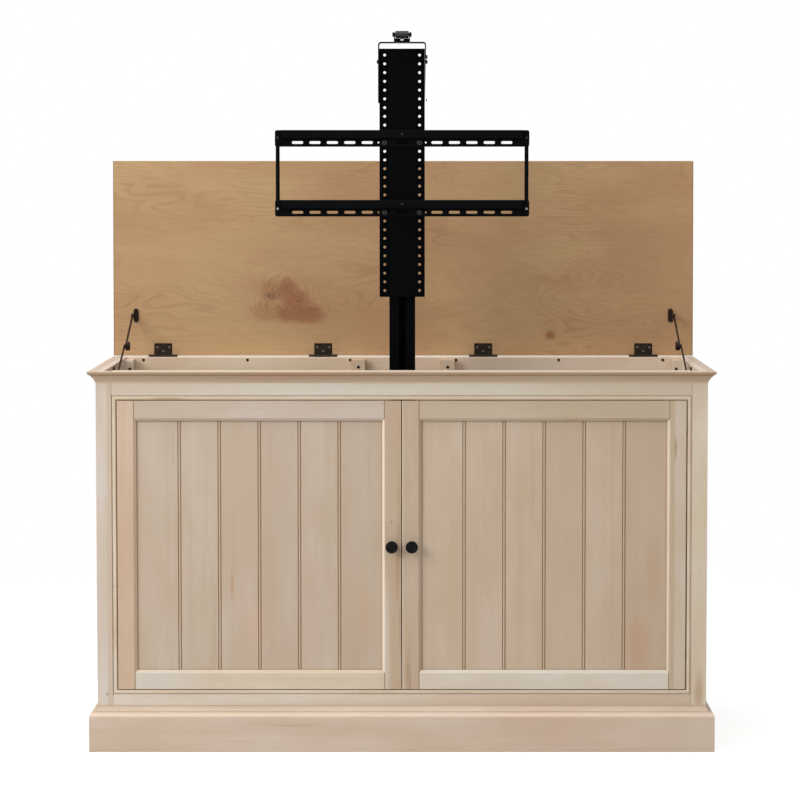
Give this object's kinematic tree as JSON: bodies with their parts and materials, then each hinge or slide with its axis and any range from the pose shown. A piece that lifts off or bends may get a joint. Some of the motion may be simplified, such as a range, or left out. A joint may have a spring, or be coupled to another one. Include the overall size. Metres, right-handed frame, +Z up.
{
  "type": "tv lift cabinet",
  "caption": "Free-standing television cabinet with beaded doors, a hinged lid on folding stays, and a telescopic lift with slotted television rails that raises through the top.",
  "frame": {"origin": "on the floor, in the middle of the whole object as it stands with the lid open and the lift raised", "axes": "+X to the right as seen from the doors, +Y from the doors to the back, +Z up"},
  "size_m": [1.766, 0.6298, 2.0377],
  "materials": {
    "bare_wood": "unfinished, sanded hardwood",
    "plywood": "unfinished, golden face veneer",
    "dark_bronze": "oil-rubbed bronze, satin",
    "black_steel": "black powder coat, satin",
    "black_knob": "matte black",
    "black_plastic": "matte black"
  },
  "bodies": {
    "cabinet": {"plinth_front": "bare_wood", "plinth_left": "bare_wood", "plinth_right": "bare_wood", "cornice_front": "bare_wood", "cornice_left": "bare_wood", "cornice_right": "bare_wood", "side_panel_left": "bare_wood", "side_panel_right": "bare_wood", "bottom_panel": "plywood", "back_panel": "plywood", "back_batten_left": "bare_wood", "back_batten_right": "bare_wood", "hinge_rail": "bare_wood", "face_stile_left": "bare_wood", "face_stile_right": "bare_wood", "frieze_rail": "bare_wood", "sill_rail": "bare_wood", "door_bead_frame": "bare_wood", "rim_hinge_leaf_1": "dark_bronze", "rim_hinge_leaf_2": "dark_bronze", "rim_hinge_leaf_3": "dark_bronze", "rim_hinge_leaf_4": "dark_bronze", "stay_bracket_left": "dark_bronze", "stay_bracket_right": "dark_bronze", "door_hinge_left_lower": "black_steel", "door_hinge_left_upper": "black_steel", "door_hinge_right_lower": "black_steel", "door_hinge_right_upper": "black_steel", "lift_base_column": "black_steel"},
    "lid": {"lid_board": "plywood", "lid_hinge_leaf_1": "dark_bronze", "lid_hinge_leaf_2": "dark_bronze", "lid_hinge_leaf_3": "dark_bronze", "lid_hinge_leaf_4": "dark_bronze", "stay_lid_plate_left": "dark_bronze", "stay_lid_plate_right": "dark_bronze"},
    "stay_lower_left": {"stay_lower_arm_left": "dark_bronze"},
    "stay_lower_right": {"stay_lower_arm_right": "dark_bronze"},
    "stay_upper_left": {"stay_upper_arm_left": "dark_bronze"},
    "stay_upper_right": {"stay_upper_arm_right": "dark_bronze"},
    "lift_stage": {"mast_stage": "black_steel"},
    "lift_carriage": {"carriage_plate": "black_steel", "upper_rail": "black_steel", "lower_rail": "black_steel", "tie_bar_left": "black_steel", "tie_bar_right": "black_steel", "lid_lifter": "black_steel"},
    "roller": {"lid_roller": "black_plastic"},
    "left_door": {"left_door_outer_stile": "bare_wood", "left_door_inner_stile": "bare_wood", "left_door_top_rail": "bare_wood", "left_door_bottom_rail": "bare_wood", "left_door_panel": "bare_wood", "left_door_knob": "black_knob"},
    "right_door": {"right_door_outer_stile": "bare_wood", "right_door_inner_stile": "bare_wood", "right_door_top_rail": "bare_wood", "right_door_bottom_rail": "bare_wood", "right_door_panel": "bare_wood", "right_door_knob": "black_knob"}
  },
  "joints": [
    {"name": "lift", "type": "slide", "parent": "cabinet", "child": "lift_stage", "axis": [0, 0, 1], "range_m": [-0.555, 0]},
    {"name": "carriage_slide", "type": "slide", "parent": "lift_stage", "child": "lift_carriage", "axis": [0, 0, 1], "range_m": [-0.555, 0]},
    {"name": "roller_spin", "type": "hinge", "parent": "lift_carriage", "child": "roller", "pos_m": [0, -0.14693, 2.027], "axis": [1, 0, 0], "continuous": true},
    {"name": "lid_hinge", "type": "hinge", "parent": "cabinet", "child": "lid", "pos_m": [0, 0.28437, 1.07625], "axis": [1, 0, 0], "range_deg": [0, 91]},
    {"name": "stay_lower_left_pivot", "type": "hinge", "parent": "cabinet", "child": "stay_lower_left", "pos_m": [-0.827, -0.07062, 1.046], "axis": [1, 0, 0], "range_deg": [-70.81, 0]},
    {"name": "stay_upper_left_pivot", "type": "hinge", "parent": "lid", "child": "stay_upper_left", "pos_m": [-0.823, 0.27354, 1.20046], "axis": [1, 0, 0], "range_deg": [-59.99, 0]},
    {"name": "stay_lower_right_pivot", "type": "hinge", "parent": "cabinet", "child": "stay_lower_right", "pos_m": [0.827, -0.07062, 1.046], "axis": [1, 0, 0], "range_deg": [-70.81, 0]},
    {"name": "stay_upper_right_pivot", "type": "hinge", "parent": "lid", "child": "stay_upper_right", "pos_m": [0.823, 0.27354, 1.20046], "axis": [1, 0, 0], "range_deg": [-59.99, 0]},
    {"name": "left_door_hinge", "type": "hinge", "parent": "cabinet", "child": "left_door", "pos_m": [-0.802, -0.28792, 0.582], "axis": [0, 0, -1], "range_deg": [0, 110]},
    {"name": "right_door_hinge", "type": "hinge", "parent": "cabinet", "child": "right_door", "pos_m": [0.802, -0.28792, 0.582], "axis": [0, 0, 1], "range_deg": [0, 110]}
  ],
  "couplings": [
    {"joint": "carriage_slide", "follows": "lift", "ratio": 1},
    {"joint": "lid_hinge", "follows": "lift", "rad_per_m": -2.8617},
    {"joint": "stay_lower_left_pivot", "follows": "lift", "rad_per_m": 2.2268},
    {"joint": "stay_upper_left_pivot", "follows": "lift", "rad_per_m": 1.8864},
    {"joint": "stay_lower_right_pivot", "follows": "lift", "rad_per_m": 2.2268},
    {"joint": "stay_upper_right_pivot", "follows": "lift", "rad_per_m": 1.8864}
  ]
}
